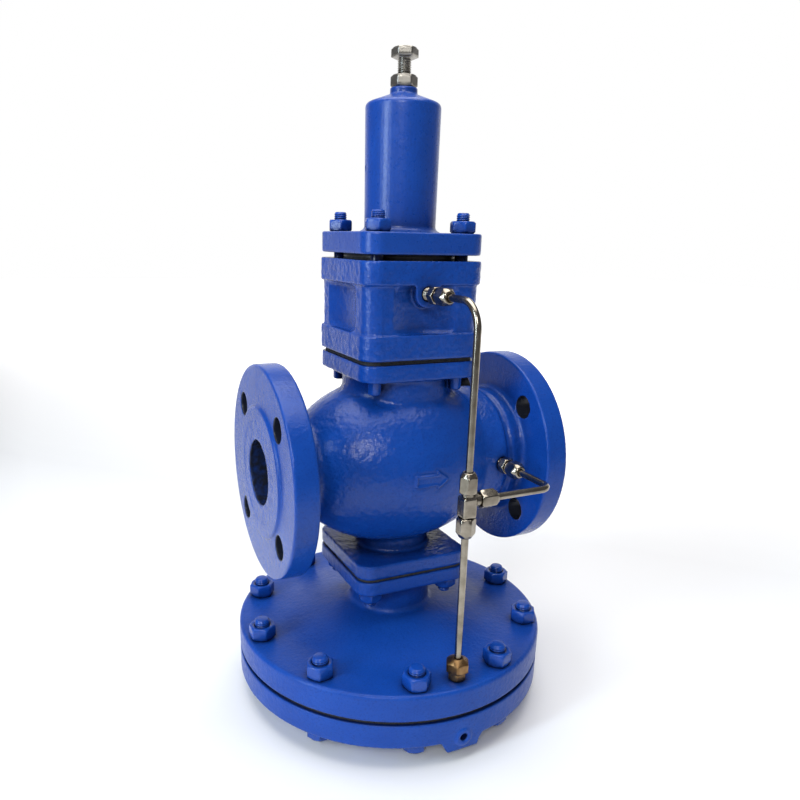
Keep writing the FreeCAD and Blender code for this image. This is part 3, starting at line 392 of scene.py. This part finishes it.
def flat_ends(node, share=1.0):
    """Roughness for a piece whose top and bottom are machined."""
    low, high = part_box(node)

    def rough(p, n):
        return 0.0 if p[2] < low.z + SKIN or p[2] > high.z - SKIN else share
    return rough


def bonnet_rough(p, n):
    if p[2] < BONNET_LOW + SKIN:
        return 0.0
    return 0.35 if p[2] < BONNET_LOW + BONNET_FLANGE_H else 0.12


def upper_case_rough(p, n):
    if p[2] < UPPER_CASE_LOW + SKIN:
        return 0.0
    return 0.25 if p[2] < UPPER_CASE_LOW + RIM_TOP else 1.0


def lower_case_rough(p, n):
    return 0.25 if p[2] > LOWER_RIM_Z else 0.8


casting("body_casting", "valve_body", BODY_PAINT, 0.90 * MM, 0.42 * MM, body_rough, 1, arrow_relief)
casting("pilot_block_casting", "pilot_block", CAST_PAINT, 0.65 * MM, 0.46 * MM, flat_ends("pilot_block"), 1)
casting("bonnet_casting", "bonnet", SMOOTH_PAINT, 0.65 * MM, 0.36 * MM, bonnet_rough, 1)
casting("upper_case_casting", "upper_diaphragm_case", CASE_PAINT, 0.9 * MM, 0.34 * MM, upper_case_rough, 1)
casting("lower_case_casting", "lower_diaphragm_case", CASE_PAINT, 0.9 * MM, 0.34 * MM, lower_case_rough, 1)
casting("control_tee_forging", "control_tee", STAINLESS, 0.4 * MM, 0.06 * MM, lambda p, n: 1.0)


# ---------------------------------------------------------------- turned pieces, threads and hexagons
ROUND, HEX, THREAD = "round", "hex", "thread"
M10_AF, M10_R, M10_PITCH = 17.0, 5.0, 1.5           # across flats, radius and pitch, in millimetres
M12_AF, M12_R, M12_PITCH = 19.0, 6.0, 1.75
CASE_HEAD_H = 7.5
SCREW_HEAD_H = 6.4
TUBE_AF, BRASS_AF = 12.0, 16.0
SPIGOT_R, TUBE_HOLE_R, FITTING_BORE_R = 4.5, 2.7, 2.0
SOCKET = 5.0


def lathe(rings, across=0.0, pitch=1.5, depth=0.6, segments=72):
    """Vertices and faces, in millimetres about Z, through rings of (radius, z, kind). The rings go round a
    closed section, or start and end on the axis. A hex ring is cut to a hexagon across flats wide."""
    vertices, loops = [], []
    for radius, z, kind in rings:
        if radius == 0:
            vertices.append((0, 0, z))
            loops.append([len(vertices) - 1] * segments)
            continue
        loop = []
        for j in range(segments):
            angle = 2 * math.pi * j / segments
            r = radius
            if kind == HEX:
                flat = across / 2 / math.cos(angle % (math.pi / 3) - math.pi / 6)
                r = -0.12 * math.log(math.exp(-radius / 0.12) + math.exp(-flat / 0.12))
            elif kind == THREAD:
                phase = (z / pitch - j / segments) % 1
                r = radius - depth * min(1.0, 2.6 * abs(phase - 0.5))
            vertices.append((r * math.cos(angle), r * math.sin(angle), z))
            loop.append(len(vertices) - 1)
        loops.append(loop)
    closed = rings[0][0] > 0
    if closed:
        loops.append(loops[0])
    faces = []
    for lower, upper in zip(loops, loops[1:]):
        for j in range(segments):
            k = (j + 1) % segments
            corners = [lower[j], lower[k], upper[k], upper[j]]
            corners = [c for i, c in enumerate(corners) if c != corners[i - 1]]
            if len(corners) > 2:
                faces.append(corners)
    return vertices, faces


def threaded(radius, low, high, pitch=1.5, step=8):
    """Thread rings from low to high, which may run either way."""
    count = max(2, round(abs(high - low) / pitch * step))
    return [(radius, low + (high - low) * i / count, THREAD) for i in range(count + 1)]


def hexed(across, low, high, low_cut=True, high_cut=True):
    """Hexagon rings from low to high with the corners cut back at its ends."""
    corner = across / 2 / math.cos(math.pi / 6)
    face = across / 2 * 0.96
    drop = (corner - face) * 0.6
    rings = []
    if low_cut:
        rings += [(face - 0.5, low, ROUND), (face, low + 0.04, HEX), (face + 0.3, low + 0.2, HEX),
                  (corner + 0.2, low + drop + 0.2, HEX)]
    else:
        rings += [(face, low, HEX), (corner + 0.2, low + 0.1, HEX)]
    middle = [(corner + 0.4, low + (high - low) * share, HEX) for share in (0.35, 0.5, 0.65)]
    rings += middle
    if high_cut:
        rings += [(corner + 0.2, high - drop - 0.2, HEX), (face + 0.3, high - 0.2, HEX),
                  (face, high - 0.04, HEX), (face - 0.5, high, ROUND)]
    else:
        rings += [(corner + 0.2, high - 0.1, HEX), (face, high, HEX)]
    return rings


def placed(part, matrices):
    """Copies of a (vertices, faces) part in millimetres, at each matrix, as one mesh in metres."""
    vertices, faces = part
    all_vertices, all_faces = [], []
    for matrix in matrices:
        start = len(all_vertices)
        all_vertices += [matrix @ (Vector(v) * MM) for v in vertices]
        all_faces += [[c + start for c in face] for face in faces]
    mesh = bpy.data.meshes.new("part")
    mesh.from_pydata(all_vertices, [], all_faces)
    work = bmesh.new()
    work.from_mesh(mesh)
    bmesh.ops.recalc_face_normals(work, faces=work.faces)
    work.to_mesh(mesh)
    work.free()
    return mesh


def separate_solids(node):
    """The points of each separate solid of a CAD node."""
    work = bmesh.new()
    work.from_mesh(NODES[node].data)
    bmesh.ops.remove_doubles(work, verts=work.verts, dist=2e-6)
    work.verts.ensure_lookup_table()
    seen, groups = set(), []
    for first in work.verts:
        if first.index in seen:
            continue
        seen.add(first.index)
        stack, group = [first], []
        while stack:
            vertex = stack.pop()
            group.append(vertex.co.copy())
            for edge in vertex.link_edges:
                other = edge.other_vert(vertex)
                if other.index not in seen:
                    seen.add(other.index)
                    stack.append(other)
        groups.append(group)
    work.free()
    return groups


def upright_spots(node):
    """Where each solid of a node of nuts or bolts stands: a matrix with its middle and its hexagon's turn."""
    matrices = []
    for group in separate_solids(node):
        x = (min(p.x for p in group) + max(p.x for p in group)) / 2
        y = (min(p.y for p in group) + max(p.y for p in group)) / 2
        far = max(group, key=lambda p: math.hypot(p.x - x, p.y - y))
        turn = math.atan2(far.y - y, far.x - x)
        matrices.append(Matrix.Translation((x, y, 0)) @ Matrix.Rotation(turn, 4, "Z"))
    return matrices


def levels(node):
    low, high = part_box(node)
    return low.z / MM, high.z / MM


def painted_nuts(name, node, across, hole):
    low, high = levels(node)
    rings = [(hole, low, ROUND)] + hexed(across, low, high)
    rings += [(hole + 0.5, high, ROUND), (hole, high - 0.5, ROUND)]
    add_piece(name, placed(lathe(rings, across), upright_spots(node)), FASTENER_PAINT, node)


painted_nuts("bonnet_nuts", "top_nuts", M10_AF, M10_R + 0.1)
painted_nuts("case_rim_nuts", "case_nuts", M12_AF, M12_R + 0.1)
painted_nuts("neck_nuts", "case_flange_nuts", M10_AF, M10_R + 0.1)


def bonnet_studs():
    low, high = levels("top_studs")
    nut_top = levels("top_nuts")[1]
    rings = [(0, low, ROUND), (4.2, low, ROUND), (M10_R, low + 0.8, ROUND), (M10_R, nut_top - 6, ROUND)]
    rings += threaded(M10_R, nut_top - 5.5, high - 1.2)
    rings += [(4.4, high - 1.0, ROUND), (4.3, high - 0.5, ROUND), (3.8, high - 0.08, ROUND),
              (3.5, high - 0.03, ROUND), (0, high, ROUND)]
    part = lathe(rings, pitch=M10_PITCH, depth=0.45, segments=48)
    add_piece("bonnet_studs", placed(part, upright_spots("top_studs")), FASTENER_PAINT, "top_studs")


def case_rim_bolts():
    low, high = levels("case_bolts")
    head_top = low + CASE_HEAD_H
    nut_top = levels("case_nuts")[1]
    rings = [(0, low, ROUND)] + hexed(M12_AF, low, head_top, high_cut=False)
    rings += [(M12_R, head_top, ROUND), (M12_R, nut_top - 6, ROUND)]
    rings += threaded(M12_R, nut_top - 5.5, high - 1.5, M12_PITCH)
    rings += [(5.3, high - 1.3, ROUND), (5.2, high - 0.6, ROUND), (4.5, high - 0.1, ROUND),
              (4.2, high - 0.03, ROUND), (0, high, ROUND)]
    part = lathe(rings, M12_AF, M12_PITCH, 0.45, 60)
    add_piece("case_rim_bolts", placed(part, upright_spots("case_bolts")), FASTENER_PAINT, "case_bolts")


def neck_studs():
    low, high = levels("case_flange_studs")
    nut_low = levels("case_flange_nuts")[0]
    rings = [(0, low, ROUND), (3.2, low + 0.1, ROUND), (4.1, low + 0.5, ROUND)]
    rings += threaded(M10_R, low + 1.2, nut_low + 5.5) + [(M10_R, nut_low + 6, ROUND)]
    rings += [(M10_R, high - 0.8, ROUND), (4.2, high, ROUND), (0, high, ROUND)]
    part = lathe(rings, pitch=M10_PITCH, depth=0.45, segments=48)
    spots = upright_spots("case_flange_studs")
    add_piece("neck_studs", placed(part, spots), FASTENER_PAINT, "case_flange_studs")


bonnet_studs()
case_rim_bolts()
neck_studs()


def screw_and_lock_nut():
    low, high = levels("adjusting_screw")
    nut_low, nut_high = levels("lock_nut")
    head = high - SCREW_HEAD_H
    turn = upright_spots("lock_nut")[0].to_euler().z
    stand = [Matrix.Rotation(turn, 4, "Z")]
    rings = [(0, low, ROUND), (4.0, low, ROUND), (4.6, low + 0.6, ROUND)]
    rings += threaded(M10_R, low + 0.8, head - 1.0) + [(4.4, head - 0.9, ROUND), (4.4, head, ROUND)]
    rings += hexed(M10_AF, head, high, low_cut=False) + [(0, high, ROUND)]
    screw = placed(lathe(rings, M10_AF, M10_PITCH, 0.75, 72), stand)
    add_piece("adjusting_screw_threaded", screw, STEEL, "adjusting_screw")
    rings = [(5.05, nut_low, ROUND)] + hexed(M10_AF, nut_low, nut_high)
    rings += [(5.6, nut_high, ROUND), (5.05, nut_high - 0.6, ROUND)]
    add_piece("screw_lock_nut", placed(lathe(rings, M10_AF), stand), STEEL, "lock_nut")


screw_and_lock_nut()


# ---------------------------------------------------------------- control line
def along(node, axis):
    """The matrix of a piece made about Z that lies along axis from the node's near end, and its length."""
    low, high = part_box(node)
    middle = (low + high) / 2
    reach = sum(abs((high - low)[i] * axis[i]) for i in range(3)) / 2
    axis = Vector(axis)
    turn = Vector((0, 0, 1)).rotation_difference(axis).to_matrix().to_4x4()
    return Matrix.Translation(middle - axis * reach) @ turn, 2 * reach / MM


def tube_nut(name, node, axis, material, across=TUBE_AF):
    place, length = along(node, axis)
    corner = across / 2 / math.cos(math.pi / 6)
    rings = [(4.6, 0, ROUND)] + hexed(across, 0, length - 3.4, high_cut=False)[:-2]
    rings += [(corner + 0.1, length - 3.9, HEX), (corner - 0.15, length - 3.5, HEX),
              (corner - 0.6, length - 3.0, HEX), (corner - 1.4, length - 2.1, HEX),
              (4.9, length - 0.9, ROUND), (4.4, length - 0.25, ROUND), (3.9, length, ROUND),
              (2.75, length, ROUND),
              (TUBE_HOLE_R, length - 6, ROUND), (4.6, length - 6.2, ROUND)]
    add_piece(name, placed(lathe(rings, across), [place]), material, node)


def connector(name, node, axis, material, stub, hexagon, across=TUBE_AF, thread=4.9):
    place, length = along(node, axis)
    rings = [(FITTING_BORE_R, 0, ROUND), (thread - 0.9, 0, ROUND)] + threaded(thread, 0.6, stub - 0.8, 1.2)
    rings += [(thread - 0.7, stub - 0.4, ROUND)] + hexed(across, stub, stub + hexagon)
    rings += [(4.1, stub + hexagon, ROUND)] + threaded(SPIGOT_R, stub + hexagon + 0.6, length - 0.6, 1.2)
    rings += [(3.8, length, ROUND), (TUBE_HOLE_R, length, ROUND), (TUBE_HOLE_R, length - SOCKET, ROUND),
              (FITTING_BORE_R, length - SOCKET, ROUND)]
    add_piece(name, placed(lathe(rings, across, 1.2, 0.5), [place]), material, node)


FORWARD, UP, DOWN, OUTLET = (0, -1, 0), (0, 0, 1), (0, 0, -1), (1, 0, 0)
tube_nut("pilot_port_nut", "block_tube_nut", FORWARD, STAINLESS)
tube_nut("upper_tee_nut", "tee_upper_nut", UP, STAINLESS)
tube_nut("lower_tee_nut", "tee_lower_nut", DOWN, STAINLESS)
tube_nut("branch_tee_nut", "tee_branch_nut", OUTLET, STAINLESS)
tube_nut("outlet_port_nut", "outlet_tube_nut", FORWARD, STAINLESS)
tube_nut("case_port_nut", "brass_nut", UP, BRASS, BRASS_AF)
connector("pilot_port_connector", "block_connector", FORWARD, STAINLESS, 16.8, 7.5)
connector("outlet_port_connector", "outlet_connector", FORWARD, STAINLESS, 10.0, 7.5)
connector("case_port_connector", "brass_connector", UP, BRASS, 10.0, 6.4)


# ---------------------------------------------------------------- springs
def spring(name, node, turns, wire):
    """A compression spring with closed, ground ends."""
    low, high = levels(node)
    outer = (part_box(node)[1].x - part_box(node)[0].x) / 2 / MM
    mean = outer - wire
    sides, per_turn = 14, 40
    count = int(turns * per_turn)
    span = high - low - 2 * wire
    rise, heights = 0.0, []
    for i in range(count + 1):
        heights.append(rise)
        t = i / count * turns
        closing = min(t, turns - t)
        rise += 0.25 if closing < 0.8 else 1.0
    scale = span / heights[-1]
    vertices, faces = [], []
    for i, height in enumerate(heights):
        angle = 2 * math.pi * i / per_turn
        for j in range(sides):
            around = 2 * math.pi * j / sides
            r = mean + wire * math.cos(around)
            z = low + wire + height * scale + wire * math.sin(around)
            vertices.append((r * math.cos(angle), r * math.sin(angle), min(max(z, low + 0.15), high - 0.15)))
    for i in range(count):
        for j in range(sides):
            k = (j + 1) % sides
            faces.append((i * sides + j, i * sides + k, (i + 1) * sides + k, (i + 1) * sides + j))
    faces.append(tuple(range(sides)))
    faces.append(tuple(range(count * sides, (count + 1) * sides)))
    piece = add_piece(name, placed((vertices, faces), [Matrix.Identity(4)]), SPRING, node)
    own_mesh(piece)


spring("valve_spring_coil", "main_spring", 7.5, 2.0)
spring("pilot_spring_coil", "pilot_spring", 5, 0.5)
spring("adjusting_spring_coil", "adjusting_spring", 8, 2.25)


# ---------------------------------------------------------------- studio
def studio_floor():
    size = 6.0
    mesh = bpy.data.meshes.new("studio_floor")
    mesh.from_pydata([(-size, -size, -2e-4), (size, -size, -2e-4), (size, size, -2e-4), (-size, size, -2e-4)],
                     [], [(0, 1, 2, 3)])
    mesh.materials.append(floor_material())
    floor = bpy.data.objects.new("studio_floor", mesh)
    scene.collection.objects.link(floor)


def lamp(name, at, to, width, height, power, colour=(1, 1, 1)):
    data = bpy.data.lights.new(name, "AREA")
    data.shape = "RECTANGLE"
    data.size, data.size_y = width, height
    data.energy = power
    data.color = colour
    light = bpy.data.objects.new(name, data)
    light.location = at
    light.rotation_euler = (Vector(to) - Vector(at)).to_track_quat("-Z", "Y").to_euler()
    scene.collection.objects.link(light)


def studio_world():
    """White behind the object, dark above it, in front and to its left."""
    world = bpy.data.worlds.new("studio")
    scene.world = world
    world.use_nodes = True
    tree = world.node_tree
    tree.nodes.clear()
    output = tree.nodes.new("ShaderNodeOutputWorld")
    light = tree.nodes.new("ShaderNodeBackground")
    light.inputs["Strength"].default_value = 1.0
    direction = tree.nodes.new("ShaderNodeTexCoord")
    dot = tree.nodes.new("ShaderNodeVectorMath")
    dot.operation = "DOT_PRODUCT"
    dot.inputs[1].default_value = Vector((0.46, 0.87, -0.17)).normalized()
    ramp = tree.nodes.new("ShaderNodeValToRGB")
    ramp.color_ramp.elements[0].position = 0.76
    ramp.color_ramp.elements[0].color = (0.15, 0.15, 0.165, 1)
    ramp.color_ramp.elements[1].position = 0.90
    ramp.color_ramp.elements[1].color = (1.0, 1.0, 1.0, 1)
    half = tree.nodes.new("ShaderNodeMapRange")
    half.inputs["From Min"].default_value = -1.0
    half.inputs["From Max"].default_value = 1.0
    tree.links.new(direction.outputs["Generated"], dot.inputs[0])
    tree.links.new(dot.outputs["Value"], half.inputs["Value"])
    tree.links.new(half.outputs["Result"], ramp.inputs["Fac"])
    tree.links.new(ramp.outputs["Color"], light.inputs["Color"])
    tree.links.new(light.outputs["Background"], output.inputs["Surface"])


def studio_camera():
    yaw, pitch, roll = (math.radians(a) for a in (25.289, 15.861, 1.270))
    ahead = Vector((math.sin(yaw) * math.cos(pitch), math.cos(yaw) * math.cos(pitch), -math.sin(pitch)))
    right = Vector((math.cos(yaw), -math.sin(yaw), 0))
    up = right.cross(ahead)
    turned_right = right * math.cos(roll) + up * math.sin(roll)
    turned_up = up * math.cos(roll) - right * math.sin(roll)
    data = bpy.data.cameras.new("camera")
    data.lens = 31.396
    data.sensor_width = 36.0
    data.shift_x, data.shift_y = 0.0313, 0.0480
    camera = bpy.data.objects.new("camera", data)
    rotation = Matrix((turned_right, turned_up, -ahead)).transposed().to_4x4()
    camera.matrix_world = Matrix.Translation((-0.25043, -0.49425, 0.37255)) @ rotation
    scene.collection.objects.link(camera)
    scene.camera = camera


scene.view_settings.view_transform = "Standard"
studio_floor()
studio_world()
lamp("key_softbox", (-1.35, -0.30, 0.70), (0, 0, 0.28), 0.22, 1.3, 14, (0.70, 0.86, 1.0))
lamp("front_fill", (-0.9, -1.4, 1.3), (0, 0, 0.25), 0.5, 0.5, 13)
lamp("top_softbox", (0, 0.1, 1.7), (0, 0, 0.1), 1.5, 1.5, 27)
studio_camera()
